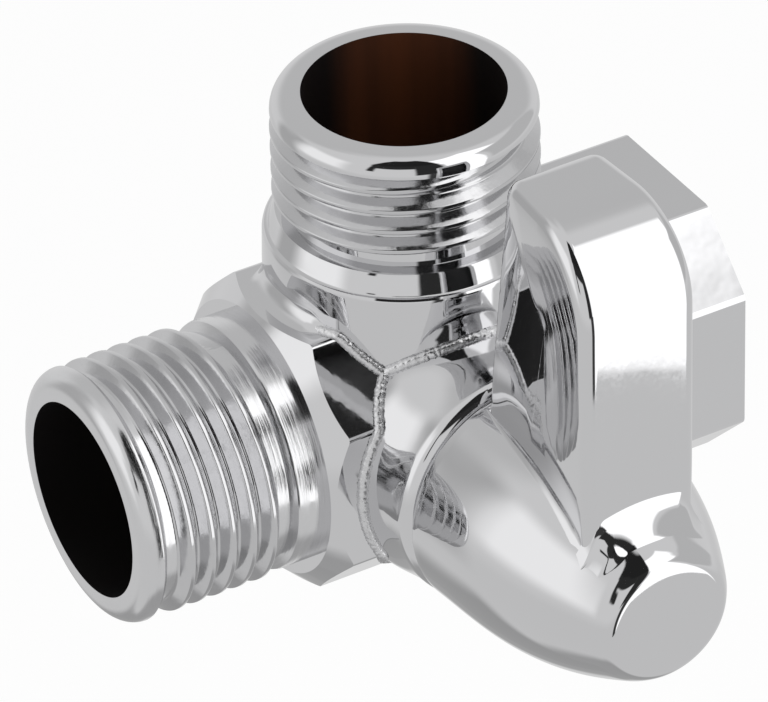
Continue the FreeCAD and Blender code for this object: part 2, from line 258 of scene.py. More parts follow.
def polishedChrome(name, tint, low, high, waves, patchSize=180.0):
    material, tree, shader = newMaterial(name, Base_Color=tint, Metallic=1.0)
    marks = addNode(tree, "ShaderNodeGroup", {"node_tree": polishGroup})
    marks.inputs["Patch Size"].default_value = patchSize
    marks.inputs["Low"].default_value = low
    marks.inputs["High"].default_value = high
    tree.links.new(marks.outputs["Roughness"], shader.inputs["Roughness"])
    addBump(tree, shader, marks.outputs["Height"], waves)
    return material


turningDepth = 0.00002  # metres, as all lengths in a material


def squeezedPlace(tree, squeeze):
    # object coordinates squeezed by axis, so that noise over them draws lines
    where = addNode(tree, "ShaderNodeTexCoord")
    mapping = addNode(tree, "ShaderNodeMapping")
    mapping.inputs["Scale"].default_value = squeeze
    tree.links.new(where.outputs["Object"], mapping.inputs["Vector"])
    return where, mapping


def turnedMetal(name, tint, low, high, squeeze, metallic=1.0):
    material, tree, shader = newMaterial(name, Base_Color=tint, Metallic=metallic)
    mapping = squeezedPlace(tree, squeeze)[1]
    lines = addNode(tree, "ShaderNodeGroup", {"node_tree": linesGroup})
    lines.inputs["Low"].default_value = low
    lines.inputs["High"].default_value = high
    tree.links.new(mapping.outputs["Vector"], lines.inputs["Vector"])
    tree.links.new(lines.outputs["Roughness"], shader.inputs["Roughness"])
    addBump(tree, shader, lines.outputs["Height"], turningDepth)
    return material


# brown streaks fade in between two distances from the crossing, measured toward the bore's far right, where they are
# painted light on the wall the light falls on
streaksAndPaintedLight = {"toward": (0.5, 0.87, 0), "from": 0.0052, "to": 0.0079, "depth": 0.00003}


def shadedBoreWall(name, dark, brown, squeeze):
    # near-black walls as painted shade inside the bore, with brown streaks as painted light on its far side
    material, tree, shader = newMaterial(name, Metallic=0.0, Roughness=0.5, Specular_IOR_Level=0.3)
    link = tree.links.new
    where, mapping = squeezedPlace(tree, squeeze)
    streaks = addNode(tree, "ShaderNodeTexNoise", Scale=1.0, Detail=3.0, Roughness=0.6)
    link(mapping.outputs["Vector"], streaks.inputs["Vector"])
    away = addNode(tree, "ShaderNodeVectorMath", {"operation": "DOT_PRODUCT"})
    away.inputs[1].default_value = streaksAndPaintedLight["toward"]
    link(where.outputs["Object"], away.inputs[0])
    side = addNode(tree, "ShaderNodeMapRange", {"interpolation_type": "SMOOTHSTEP"})
    crossing = -0.001 * common["inletReach"] * streaksAndPaintedLight["toward"][0]
    side.inputs["From Min"].default_value = crossing + streaksAndPaintedLight["from"]
    side.inputs["From Max"].default_value = crossing + streaksAndPaintedLight["to"]
    link(away.outputs["Value"], side.inputs["Value"])
    share = addNode(tree, "ShaderNodeMath", {"operation": "MULTIPLY"})
    link(streaks.outputs["Fac"], share.inputs[0])
    link(side.outputs["Result"], share.inputs[1])
    # the near-black is painted shade; the brown, masked to the far wall, is painted light
    mix = addNode(tree, "ShaderNodeMix", {"data_type": "RGBA"})
    mix.inputs["A"].default_value = dark
    mix.inputs["B"].default_value = brown
    link(share.outputs[0], mix.inputs["Factor"])
    link(mix.outputs["Result"], shader.inputs["Base Color"])
    addBump(tree, shader, streaks.outputs["Fac"], streaksAndPaintedLight["depth"])
    return material


finishes = {
    "chrome": (0.7, 0.7, 0.71, 1),
    "threadChrome": (0.62, 0.62, 0.63, 1),
    "ballChrome": (0.72, 0.72, 0.73, 1),
    # near-black painted shade for the hollow in the blade's back
    "hollowPaintedShade": (0.012, 0.012, 0.013, 1),
    "brass": (0.71, 0.49, 0.22, 1),
    # painted shade for the bore walls and painted light for their far side
    "borePaintedShade": (0.004, 0.003, 0.003, 1),
    "boreBrownPaintedLight": (0.12, 0.035, 0.012, 1),
    "steel": (0.55, 0.55, 0.56, 1),
    "whitePlastic": (0.88, 0.88, 0.86, 1),
    "blackPlastic": (0.03, 0.03, 0.03, 1),
    "rubber": (0.04, 0.04, 0.04, 1),
}
bodyChrome = polishedChrome("bodyChrome", finishes["chrome"], 0.02, 0.07, 0.00002)
frostedChrome = polishedChrome("frostedChrome", finishes["chrome"], 0.22, 0.42, 0.00006, 900.0)
threadChrome = polishedChrome("threadChrome", finishes["threadChrome"], 0.08, 0.2, 0.000014, 900.0)
neckChrome = turnedMetal("neckChrome", finishes["chrome"], 0.08, 0.24, (3200, 150, 150))
handleChrome = polishedChrome("handleChrome", finishes["chrome"], 0.015, 0.045, 0.000003, 120.0)
ballChrome = polishedChrome("ballChrome", finishes["ballChrome"], 0.04, 0.1, 0.000002, 300.0)
brassAlongX = turnedMetal("brassAlongX", finishes["brass"], 0.22, 0.42, (4500, 60, 60))
brassAlongY = turnedMetal("brassAlongY", finishes["brass"], 0.22, 0.42, (60, 4500, 60))
brassAlongZ = turnedMetal("brassAlongZ", finishes["brass"], 0.22, 0.42, (60, 60, 4500))
shadedBoreAlongX = shadedBoreWall("shadedBoreAlongX", finishes["borePaintedShade"], finishes["boreBrownPaintedLight"], (9, 260, 260))
shadedBoreAlongZ = shadedBoreWall("shadedBoreAlongZ", finishes["borePaintedShade"], finishes["boreBrownPaintedLight"], (260, 260, 9))
# near-black for the hollow in the blade's back: painted shade
hollowPaintedShade = turnedMetal("hollowPaintedShade", finishes["hollowPaintedShade"], 0.45, 0.65, (900, 900, 900), 0.0)
plainSteel = turnedMetal("plainSteel", finishes["steel"], 0.25, 0.4, (60, 60, 4500))
whitePlastic = turnedMetal("whitePlastic", finishes["whitePlastic"], 0.4, 0.6, (700, 700, 700), 0.0)
blackPlastic = turnedMetal("blackPlastic", finishes["blackPlastic"], 0.35, 0.55, (500, 500, 500), 0.0)
blackRubber = turnedMetal("blackRubber", finishes["rubber"], 0.6, 0.8, (900, 900, 900), 0.0)

nodeFinish = {
    "ball": ballChrome, "inlet_carrier": brassAlongX, "inlet_washer": blackRubber, "stem": brassAlongY,
    "thrust_washer": whitePlastic, "packing_washer": whitePlastic, "gland_nut": brassAlongY,
    "glide_washer": blackPlastic, "stop_pin": plainSteel, "handle_screw": plainSteel,
    "seat_inlet": whitePlastic, "seat_through": whitePlastic, "seat_branch": whitePlastic,
    "backing_ring_inlet": blackRubber, "backing_ring_through": blackRubber, "backing_ring_branch": blackRubber,
    "bush_through": brassAlongX, "bush_branch": brassAlongZ,
    "stem_ring_inner": blackRubber, "stem_ring_outer": blackRubber,
}
for nodeName, finish in nodeFinish.items():
    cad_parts[nodeName].material_slots[0].material = finish
print("materials made")


body = {
    "flats": 11.6, "side": 6.0, "edgeRound": 0.3, "shoulder": 13.9, "shoulderRadius": 11.3, "chamferFrom": 1.2,
    "throughNeck": 10.28, "throughGroove": 15.9, "throughReach": 29.6, "throughThreadEnd": 27.35,
    "branchNeck": 11.42, "branchReach": 27.6, "branchThreadEnd": 25.45,
    "mouthOut": 10.44, "mouthRound": 1.5, "runout": 10.2,
    "bossRoot": 11.5, "bossWaist": 9.6, "bossEnd": 10.5, "bossReach": 17.0, "bossEndRound": 1.4,
}
# the bores' radii and depths from the crossing
bores = {
    "cavity": 8.8, "ballDeep": 12.6, "bush": 8.0, "seat": 6.25, "stem": 5.9, "stemDeep": 11.2, "gland": 7.3,
    "carrier": 9.65, "carrierDeep": 14.8, "inletThread": 10.45, "inletThreadFrom": 15.6, "inletThreadTo": 23.35,
    "inletMouth": 10.95, "beyond": 1.4, "pin": 0.77, "pinFrom": 14.0, "pinOut": 8.8, "pinTurn": math.radians(135),
}


def eightSidedBar():
    bm = bmesh.new()
    bmesh.ops.create_cube(bm, size=1.0)
    length = body["shoulder"] + common["inletReach"]
    bmesh.ops.scale(bm, vec=(length, 2 * body["flats"], 2 * body["flats"]), verts=bm.verts[:])
    bmesh.ops.translate(bm, vec=((common["inletReach"] - body["shoulder"]) / 2, 0, 0), verts=bm.verts[:])
    for width, segments, sharpest in ((body["flats"] - body["side"], 1, 80), (body["edgeRound"], 4, 30)):
        along = [e for e in bm.edges
                 if abs((e.verts[0].co - e.verts[1].co).x) > length / 2
                 and e.calc_face_angle() > math.radians(sharpest)]
        bmesh.ops.bevel(bm, geom=along, offset=width, offset_type="OFFSET", affect="EDGES",
                        segments=segments, profile=0.5, material=-1, clamp_overlap=False)
    return bm


def mouth(reach):
    # the broad rounding of an outlet's mouth, from the thread's outside to the bore
    size = body["mouthRound"]
    return arc((reach - size, body["mouthOut"] - size), size, 0, 90, 9) + [(reach, 0)]


def throughPort():
    neck, groove, last = body["throughNeck"], body["throughGroove"], body["throughThreadEnd"]
    return lathe([(0, 0), (0, neck), (groove, neck), (groove + 0.25, neck - 0.08), (groove + 0.6, common["root"]),
                  (last, common["root"]), (last + 0.45, body["runout"])] + mouth(body["throughReach"]),
                 toThrough, 250)


def branchPort():
    # three fine turned steps lead from the neck down to the thread's root
    neck, last = body["branchNeck"], body["branchThreadEnd"]
    return lathe([(0, 0), (0, neck), (12.5, neck), (15.2, 11.34), (15.45, 11.28), (15.58, 11.14), (15.62, 10.98),
                  (15.7, 10.86), (15.9, 10.76), (17.1, 10.42), (17.3, 10.3), (17.5, common["root"]),
                  (last, common["root"]), (last + 0.4, body["runout"])] + mouth(body["branchReach"]), toBranch)


def frontBoss():
    b = body
    size = b["bossEndRound"]
    waist = interpolate_bezier(Vector((b["bossWaist"], b["bossRoot"])), Vector((11.8, 11.45)),
                               Vector((13.2, 10.62)), Vector((b["bossReach"] - size, b["bossEnd"])), 16)
    return lathe([(0, 0), (0, b["bossRoot"])] + [(p[0], p[1]) for p in waist[:-1]]
                 + arc((b["bossReach"] - size, b["bossEnd"] - size), size, 0, 90, 6) + [(b["bossReach"], 0)], toFront)


def barShape():
    # the turned form that rounds off the bar's shoulder
    before = -common["inletReach"] - 1
    return lathe([(before, 0), (before, 24), (body["chamferFrom"], 24), (body["shoulder"], body["shoulderRadius"]),
                  (body["shoulder"], 0)], toThrough)


def inletBore():
    b, end = bores, common["inletReach"]
    ballEnd = [(-b["cavity"] * math.cos(math.radians(t)), b["cavity"] * math.sin(math.radians(t)))
              for t in range(6, 91, 6)]
    return lathe([(-b["cavity"], 0)] + ballEnd
                 + [(b["ballDeep"], b["cavity"]), (b["ballDeep"], b["carrier"]), (b["carrierDeep"], b["carrier"]),
                    (b["inletThreadFrom"], b["inletThread"]), (b["inletThreadTo"], b["inletThread"]),
                    (end, b["inletMouth"]), (end + 1.1, b["inletMouth"]), (end + 1.1, 0)], toInlet, 192)


def steppedBore(inner, depth, outer, end, direction):
    return lathe([(0, 0), (0, inner), (depth, inner), (depth, outer), (end, outer), (end, 0)], direction, 192)


def pinHole():
    b = bores
    end = body["bossReach"] + 1
    bm = lathe([(b["pinFrom"], 0), (b["pinFrom"], b["pin"]), (end, b["pin"]), (end, 0)], toFront, 32)
    bmesh.ops.translate(bm, vec=(b["pinOut"] * math.sin(b["pinTurn"]), 0, b["pinOut"] * math.cos(b["pinTurn"])),
                        verts=bm.verts[:])
    return bm


seam = {"radius": 0.46, "step": 0.09, "lumps": 5.0, "lumpHeight": 0.075, "back": -1.0, "floor": -11.59,
        "top": 14, "left": -13.8, "valley": math.radians(9), "shortest": 0.6}


def runLength(run):
    return sum((a - b).length for a, b in zip(run, run[1:]))


def seamRuns(obj):
    # the lines where the bar, the neck and the boss run into each other, as chains of points
    bm = bmesh.new()
    bm.from_mesh(obj.data)
    seams = [e for e in bm.edges if len(e.link_faces) == 2 and e.calc_face_angle_signed() < -seam["valley"]
             and all(v.co.x > seam["left"] and v.co.z < seam["top"] and v.co.y < seam["back"] for v in e.verts)]
    left, marked = set(seams), set(seams)
    runs = []
    for edge in seams:
        if edge not in left:
            continue
        left.remove(edge)
        run = [edge.verts[0], edge.verts[1]]
        for end in (0, 1):
            while True:
                tip = run[-1] if end else run[0]
                ways = [e for e in tip.link_edges if e in left]
                if len(ways) != 1 or len([e for e in tip.link_edges if e in marked]) > 2:
                    break
                left.remove(ways[0])
                other = ways[0].other_vert(tip)
                run.append(other) if end else run.insert(0, other)
        runs.append([v.co.copy() for v in run])
    bm.free()
    return [run for run in runs if runLength(run) > seam["shortest"]]


def evenRun(run, step):
    # the same line with points a fixed step apart
    points, carry = [run[0]], 0.0
    for a, b in zip(run, run[1:]):
        length = (b - a).length
        at = step - carry
        while at < length:
            points.append(a.lerp(b, at / length))
            at += step
        carry = (carry + length) % step
    points.append(run[-1])
    return points


def seamBead(runs):
    # a narrow rough bead left along the seams by casting and plating
    curve = bpy.data.curves.new("seam", "CURVE")
    curve.dimensions = "3D"
    curve.bevel_depth = seam["radius"]
    curve.bevel_resolution = 8
    curve.use_fill_caps = True
    for run in runs:
        points = evenRun(run, seam["step"])
        spline = curve.splines.new("POLY")
        spline.points.add(len(points) - 1)
        for spot, point in zip(spline.points, points):
            spot.co = (*point, 1)
    holder = bpy.data.objects.new("seam", curve)
    bpy.context.scene.collection.objects.link(holder)
    mesh = bpy.data.meshes.new_from_object(holder.evaluated_get(bpy.context.evaluated_depsgraph_get()))
    bpy.data.objects.remove(holder)
    bm = bmesh.new()
    bm.from_mesh(mesh)
    bpy.data.meshes.remove(mesh)
    bmesh.ops.remove_doubles(bm, verts=bm.verts[:], dist=0.0005)
    bmesh.ops.recalc_face_normals(bm, faces=bm.faces[:])
    bm.normal_update()
    for vert in bm.verts:
        lump = noise.noise(vert.co * seam["lumps"]) + 0.5 * noise.noise(vert.co * seam["lumps"] * 2.7)
        vert.co += vert.normal * lump * seam["lumpHeight"]
        vert.co.z = max(vert.co.z, seam["floor"])
    smoothFaces(bm)
    dress(newMesh("seam_bead", bm, [frostedChrome]), "valve", "chromed_body")


fillet = {"top": body["flats"], "neck": body["branchNeck"], "size": 1.5, "spread": 31, "fade": 14, "sunk": 0.01}


def neckFillet():
    # the hollow curve between the bar's top and the upright neck, which dies out at the top's two edges
    f = fillet
    top, neck, size = f["top"], f["neck"], f["size"]
    section = [(top + size * (1 - math.cos(math.radians(t))), neck + size * (1 - math.sin(math.radians(t))))
               for t in range(0, 91, 6)]
    section += [(top + size, neck - 0.5), (top - 0.4, neck - 0.5), (top - 0.4, neck + size)]
    bm = bmesh.new()
    verts, edges = outlineLoop(bm, section, closed=True)
    bmesh.ops.rotate(bm, cent=(0, 0, 0), matrix=Matrix.Rotation(math.radians(180 - f["spread"]), 3, "Z"),
                     verts=verts)
    bmesh.ops.spin(bm, geom=[bm.faces.new(verts)], cent=(0, 0, 0), axis=(0, 0, 1),
                   angle=math.radians(2 * f["spread"]), steps=72)
    for v in bm.verts:
        off = abs(math.degrees(math.atan2(v.co.y, -v.co.x)))
        share = 0.02 + 0.98 * smoothStep((f["spread"] - off) / f["fade"])
        radius = v.co.xy.length
        if radius > neck:
            v.co.xy *= (neck - f["sunk"] + (radius - neck) * share) / radius
        if v.co.z > top:
            v.co.z = top - f["sunk"] + (v.co.z - top) * share
    bmesh.ops.recalc_face_normals(bm, faces=bm.faces[:])
    smoothFaces(bm)
    obj = newMesh("neck_fillet", bm, [bodyChrome])
    obj.data.set_sharp_from_angle(angle=math.radians(50))
    dress(obj, "valve", "chromed_body")


neckFillet()
bodyPiece = newMesh("forged_body", eightSidedBar(), [bodyChrome], place=False)
combine(bodyPiece, [
    ("INTERSECT", barShape(), bodyChrome),
    ("UNION", throughPort(), neckChrome),
    ("UNION", branchPort(), bodyChrome),
    ("UNION", frontBoss(), bodyChrome),
])
bodySeams = seamRuns(bodyPiece)
print("seams:", [round(runLength(run), 1) for run in bodySeams])
seamBead(bodySeams)
seat, deep, bush, beyond = bores["seat"], bores["ballDeep"], bores["bush"], bores["beyond"]
combine(bodyPiece, [
    ("DIFFERENCE", inletBore(), brassAlongX),
    ("DIFFERENCE", steppedBore(seat, deep, bush, body["throughReach"] + beyond, toThrough), shadedBoreAlongX),
    ("DIFFERENCE", steppedBore(seat, deep, bush, body["branchReach"] + beyond, toBranch), shadedBoreAlongZ),
    ("DIFFERENCE", steppedBore(bores["stem"], bores["stemDeep"], bores["gland"], body["bossReach"] + 1, toFront),
     brassAlongY),
    ("DIFFERENCE", pinHole(), brassAlongY),
])
bodyPiece.data.transform(intoFrame)
finishSmooth(bodyPiece, 24)
dress(bodyPiece, "valve", "chromed_body", "valve_body")
print("body made:", len(bodyPiece.data.polygons), "faces")


thread = {"steps": 120, "crestFlat": 0.34, "rootFlat": 0.3, "crestRound": 0.12, "rootRound": 0.3, "sunk": 0.25,
          "fade": 0.3}


def helicalThread(name, direction, firstCrest, turns, inward=False):
    t = thread
    half = common["pitch"] / 2
    outer, inner = common["crest"], common["root"]
    if inward:
        outer, inner = inner, outer
    back = inner - t["sunk"] if not inward else inner + t["sunk"]
    section = [(-half, inner), (-half + t["rootFlat"] / 2, inner), (-t["crestFlat"] / 2, outer),
               (t["crestFlat"] / 2, outer), (half - t["rootFlat"] / 2, inner), (half, inner), (half, back),
               (-half, back)]
    section = rounded(section, {1: (t["rootRound"], 3), 2: (t["crestRound"], 3), 3: (t["crestRound"], 3),
                                4: (t["rootRound"], 3)})
    bm = bmesh.new()
    verts, edges = outlineLoop(bm, [(p.x, p.y) for p in section], closed=True)
    bmesh.ops.spin(bm, geom=[bm.faces.new(verts)], cent=(0, 0, 0), axis=(0, 0, 1),
                   dvec=(0, 0, common["pitch"] / t["steps"]), angle=math.tau * turns, steps=round(turns * t["steps"]))
    # the ridge fades into the root at both ends
    for vert in bm.verts:
        angle = math.atan2(vert.co.y, vert.co.x) % math.tau
        lap = round((vert.co.z - common["pitch"] * angle / math.tau) / common["pitch"])
        along = lap + angle / math.tau
        if angle > math.tau - 1e-4 and along > turns:
            along -= 1
        share = smoothStep(min(along, turns - along) / t["fade"])
        radius = vert.co.xy.length
        if abs(radius - back) > 1e-3:
            vert.co.xy *= (inner + (radius - inner) * share) / radius
    bmesh.ops.recalc_face_normals(bm, faces=bm.faces[:])
    bmesh.ops.transform(bm, matrix=aimed(direction) @ Matrix.Translation((0, 0, firstCrest)), verts=bm.verts[:])
    smoothFaces(bm)
    obj = newMesh(name, bm, [threadChrome])
    obj.data.set_sharp_from_angle(angle=math.radians(40))
    dress(obj, "valve", "chromed_body")


helicalThread("through_thread", toThrough, 17.0, 5.6)
helicalThread("branch_thread", toBranch, 18.3, 3.9)
helicalThread("inlet_thread", toInlet, 15.9, 3.85, inward=True)
print("threads made")


handle = {
    "back": 17.4, "rise": math.tan(math.radians(1.9)), "backRound": 0.14, "halfAtBack": 3.7, "widening": 0.068,
    "bladeFront": 34.3, "bladeTop": 33.1, "heel": 17.9, "heelZ": 10.0, "backTop": 21.6, "bottom": 3.4,
    "heelRound": 3.0, "frontRound": 7.5, "rearRound": 1.8, "rimRound": 1.0, "crown": 0.5,
    "spine": ((27.0, 13.0), (28.0, 24.0)), "rings": (0, 0.2, 0.32, 0.44, 0.56, 0.68, 0.8, 0.9),
    "hollow": 1.2, "hollowRim": 0.15, "hollowSlope": 0.12, "hollowZ": (12.5, 30.6), "hollowFront": -24,
    "drive": 6.5, "driveEnd": 27.05, "driveLength": 11.0, "screwHole": 2.0, "screwAlong": 23.0,
}
# the hub's outline as spans of a smooth curve: start, two handles and end, each (radius, distance)
hubSpans = [
    ((10.3, 17.4), (10.118, 19.811), (10.104, 22.923), (9.65, 26.0), 10),
    ((9.65, 26.0), (9.338, 28.114), (8.817, 30.213), (8.08, 32.2), 10),
    ((8.08, 32.2), (7.575, 33.561), (6.969, 34.869), (6.3, 36.2), 10),
    ((6.3, 36.2), (6.12, 36.56), (5.95, 36.9), (5.72, 37.2), 8),
    ((5.72, 37.2), (5.45, 37.56), (5.2, 37.98), (4.6, 38.0), 16),
    ((4.6, 38.0), (3.0, 38.04), (1.5, 38.05), (0, 38.05), 8),
]


def hubCurve(detail):
    points = []
    for start, handleA, handleB, end, count in hubSpans:
        run = interpolate_bezier(Vector(start), Vector(handleA), Vector(handleB), Vector(end), count * detail)
        points += [(p[1], p[0]) for p in run[:-1]]
    return points + [(hubSpans[-1][3][1], 0)]


def hubBlank():
    # the hub leans a little: each ring is shifted up as it goes forward
    points = rounded([(handle["back"], 0)] + hubCurve(1), {1: (handle["backRound"], 4)})
    bm = lathe(points, toFront, 256)
    for v in bm.verts:
        v.co.z += (-v.co.y - handle["back"]) * handle["rise"]
    return bm


def bladeHalf(along):
    return handle["halfAtBack"] + handle["widening"] * (along - handle["back"])


hubSkin = hubCurve(5)


def hubRadius(along):
    for (a0, r0), (a1, r1) in zip(hubSkin, hubSkin[1:]):
        if a0 <= along <= a1 and a1 > a0:
            return r0 + (r1 - r0) * (along - a0) / (a1 - a0)
    return 0.0


def hubTop(along, x):
    # height of the hub's skin over a point of the plan
    return math.sqrt(max(0.0, hubRadius(along) ** 2 - x * x)) + (along - handle["back"]) * handle["rise"]


def denser(points, step):
    # the same closed outline with no run longer than the step
    done = []
    for i, point in enumerate(points):
        after = points[(i + 1) % len(points)]
        parts = max(1, math.ceil((after - point).length / step))
        done += [point.lerp(after, k / parts) for k in range(parts)]
    return done


def ringLoop(bm, places):
    verts = [bm.verts.new(place) for place in places]
    return [bm.edges.new(pair) for pair in zip(verts, verts[1:] + verts[:1])]


def leverBlade():
    h = handle
    corners = [(h["heel"], h["bottom"]), (h["heel"], h["heelZ"]), (h["backTop"], h["bladeTop"]),
               (h["bladeFront"], h["bladeTop"]), (h["bladeFront"], h["bottom"])]
    shape = denser(rounded(corners, {1: (h["heelRound"], 8), 2: (h["rearRound"], 10), 3: (h["frontRound"], 24)})
                   [:-1] + [Vector(corners[-1])], 1.3)
    low, high = (Vector(p) for p in h["spine"])
    bm = bmesh.new()
    rings = []
    for inward in h["rings"]:
        places = []
        for p in shape:
            t = max(0.0, min(1.0, (p - low).dot(high - low) / (high - low).length_squared))
            q = p.lerp(low.lerp(high, t), inward)
            half = bladeHalf(q.x)
            clear = smoothStep((q.y - hubTop(q.x, half) - 0.6) / 5.0)
            places.append((-half - h["crown"] * (1 - (1 - inward) ** 2) * clear, -q.x, q.y))
        rings.append(ringLoop(bm, places))
    for outer, inner in zip(rings, rings[1:]):
        bmesh.ops.bridge_loops(bm, edges=outer + inner)
    bmesh.ops.holes_fill(bm, edges=rings[-1], sides=0)
    bmesh.ops.mirror(bm, geom=bm.verts[:] + bm.edges[:] + bm.faces[:], axis="X", merge_dist=-1)
    rims = [e for e in bm.edges if e.is_boundary]
    bmesh.ops.bridge_loops(bm, edges=rims)
    bmesh.ops.recalc_face_normals(bm, faces=bm.faces[:])
    walls = {f for f in bm.faces if any(abs(e.verts[0].co.x - e.verts[1].co.x) > 4 for e in f.edges)}
    rim = [e for e in bm.edges if len([f for f in e.link_faces if f in walls]) == 1]
    bmesh.ops.bevel(bm, geom=rim, offset=h["rimRound"], offset_type="OFFSET", affect="EDGES", segments=8,
                    profile=0.5, material=-1, clamp_overlap=False)
    smoothFaces(bm)
    # the shallow hollow in the blade's back, its faces coloured near-black as painted shade
    low, high = h["hollowZ"]
    middles = {f: f.calc_center_median() for f in bm.faces}
    back = [f for f in bm.faces if f.normal.y > 0.9 and abs(middles[f].x) < 0.3
            and low < middles[f].z < high and middles[f].y > h["hollowFront"]]
    bmesh.ops.inset_region(bm, faces=back, thickness=h["hollowRim"], depth=0.0, use_even_offset=True,
                           use_boundary=True)
    sides = bmesh.ops.inset_region(bm, faces=back, thickness=h["hollowSlope"], depth=-h["hollow"],
                                   use_even_offset=True, use_boundary=True)["faces"]
    # the hollow's faces take the near-black second material: painted shade
    for face in back + sides:
        face.material_index = 1
    return bm


# the fillet at the blade's root: distance along the hub and the length of its tangents
rootFillet = [(17.95, 0.1), (18.5, 0.2), (20.2, 0.42), (22.8, 0.62), (25.4, 0.65), (28.3, 0.65), (31.2, 0.75),
              (32.4, 0.8), (33.1, 0.5), (33.6, 0.1)]


def filletSize(along):
    for (a0, s0), (a1, s1) in zip(rootFillet, rootFillet[1:]):
        if a0 <= along <= a1:
            return s0 + (s1 - s0) * smoothStep((along - a0) / (a1 - a0))
    return rootFillet[-1][1]


def filletSkirt():
    # hollow strips that ease the blade's flanks into the hub, each sunk a hair into both
    bm = bmesh.new()
    first, last = rootFillet[0][0], rootFillet[-1][0]
    loops = []
    for k in range(73):
        along = first + (last - first) * k / 72
        size, half = filletSize(along), bladeHalf(along)
        lean = math.asin(min(0.95, half / hubRadius(along)))
        out = half + size * math.cos(lean)
        foot = hubTop(along, out)
        slope = (hubTop(along, out + 0.02) - hubTop(along, out - 0.02)) / 0.04
        bend = foot + slope * (half - out)
        head = bend + math.hypot(out - half, foot - bend)
        points = []
        for i in range(13):
            t = i / 12
            x = half * (1 - t) ** 2 + half * 2 * t * (1 - t) + out * t * t
            z = head * (1 - t) ** 2 + bend * 2 * t * (1 - t) + foot * t * t
            points.append((x - 0.012, z - 0.012 * t))
        points += [(out - 0.3, foot - 0.9), (half - 0.7, bend - 0.9), (half - 0.7, head)]
        loops.append(ringLoop(bm, [(-x, -along, z) for x, z in points]))
    for near, far in zip(loops, loops[1:]):
        bmesh.ops.bridge_loops(bm, edges=near + far)
    bmesh.ops.holes_fill(bm, edges=loops[0] + loops[-1], sides=0)
    bmesh.ops.recalc_face_normals(bm, faces=bm.faces[:])
    bmesh.ops.mirror(bm, geom=bm.verts[:] + bm.edges[:] + bm.faces[:], axis="X", merge_dist=-1)
    bmesh.ops.recalc_face_normals(bm, faces=bm.faces[:])
    smoothFaces(bm)
    return bm


flare = {
    "ramp": [((34.28, 9.75), (34.34, 9.25), (34.42, 8.9), (34.62, 8.55), 10),
             ((34.62, 8.55), (35.05, 7.93), (35.6, 7.42), (36.2, 6.84), 22)],
    "end": [(36.2, 6.84), (36.4, 6.6), (36.65, 6.25), (36.9, 5.8)],
    "from": 33.3, "inside": 0.98, "climb": 4, "crease": 34.3, "length": 1.9, "wide": 6.3,
    "bend": (0.04, 0.065), "half": (3.9, 0.7), "wall": (4.0, 2.0), "ridge": 2.2,
    "reach": 0.12, "fillet": 2.6, "filletIn": 1.2, "filletWide": 1.6, "filletEnd": 35.5, "sunk": 0.02,
}


def softMin(a, b, reach):
    near = max(reach - abs(a - b), 0.0) / reach
    return min(a, b) - near * near * reach / 4


def flareSkin():
    # the hollow ramp from the blade's front down to the nose, blended into the hub at both sides
    f = flare
    brink = f["ramp"][0][0][1]
    bm = bmesh.new()
    rows = []
    for k in range(8):
        ahead = f["inside"] * k / 8
        rows.append((f["from"] + ahead, brink + f["climb"] * (f["inside"] - ahead)))
    for start, handleA, handleB, end, count in f["ramp"]:
        rows += [(p[0], p[1]) for p in interpolate_bezier(Vector(start), Vector(handleA), Vector(handleB),
                                                          Vector(end), count)[:-1]]
    rows += f["end"]
    loops = []
    for along, top in rows:
        wide = min(f["wide"], 0.9 * hubRadius(along))
        gone = min(1.0, max(0.0, (along - f["crease"]) / f["length"]))
        bend = f["bend"][0] + f["bend"][1] * gone ** 0.8
        edge = f["half"][0] - f["half"][1] * gone
        steep = f["wall"][0] - f["wall"][1] * gone
        crest = min(top, brink) - bend * edge ** 2
        fade = 1 - smoothStep((along - f["filletEnd"]) / 1.2)
        points = []
        for i in range(121):
            x = wide * math.sin(math.pi / 2 * (i / 60 - 1))
            ramp = top - bend * x * x
            wall = crest + (edge - abs(x)) * steep
            skin = hubTop(along, x)
            reach = f["reach"] + f["fillet"] * smoothStep((abs(x) - edge + f["filletIn"]) / f["filletWide"]) * fade
            z = -softMin(-softMin(ramp, wall, f["ridge"]), -skin, reach)
            z -= f["sunk"] * (1 - min(1.0, (z - skin) / 0.06))
            points.append((x, z))
        deep = hubTop(along, wide) - 0.6
        points += [(wide, deep), (-wide, deep)]
        loops.append(ringLoop(bm, [(x, -along, z) for x, z in points]))
    for near, far in zip(loops, loops[1:]):
        bmesh.ops.bridge_loops(bm, edges=near + far)
    bmesh.ops.holes_fill(bm, edges=loops[0] + loops[-1], sides=0)
    bmesh.ops.recalc_face_normals(bm, faces=bm.faces[:])
    smoothFaces(bm)
    return bm


def driveSocket():
    h = handle
    bm = bmesh.new()
    bmesh.ops.create_cube(bm, size=1.0)
    bmesh.ops.scale(bm, vec=(h["drive"], h["driveLength"], h["drive"]), verts=bm.verts[:])
    bmesh.ops.translate(bm, vec=(0, -h["driveEnd"] + h["driveLength"] / 2, 0), verts=bm.verts[:])
    return bm


def screwHole():
    size = handle["screwHole"]
    bm = lathe([(0, 0), (0, size), (12, size), (12, 0)], toScrew, 48)
    bmesh.ops.translate(bm, vec=(0, -handle["screwAlong"], 0), verts=bm.verts[:])
    return bm


groove = {"radius": 8.8, "half": 1.0, "back": -16.5, "floor": -19.0, "from": math.radians(-45)}


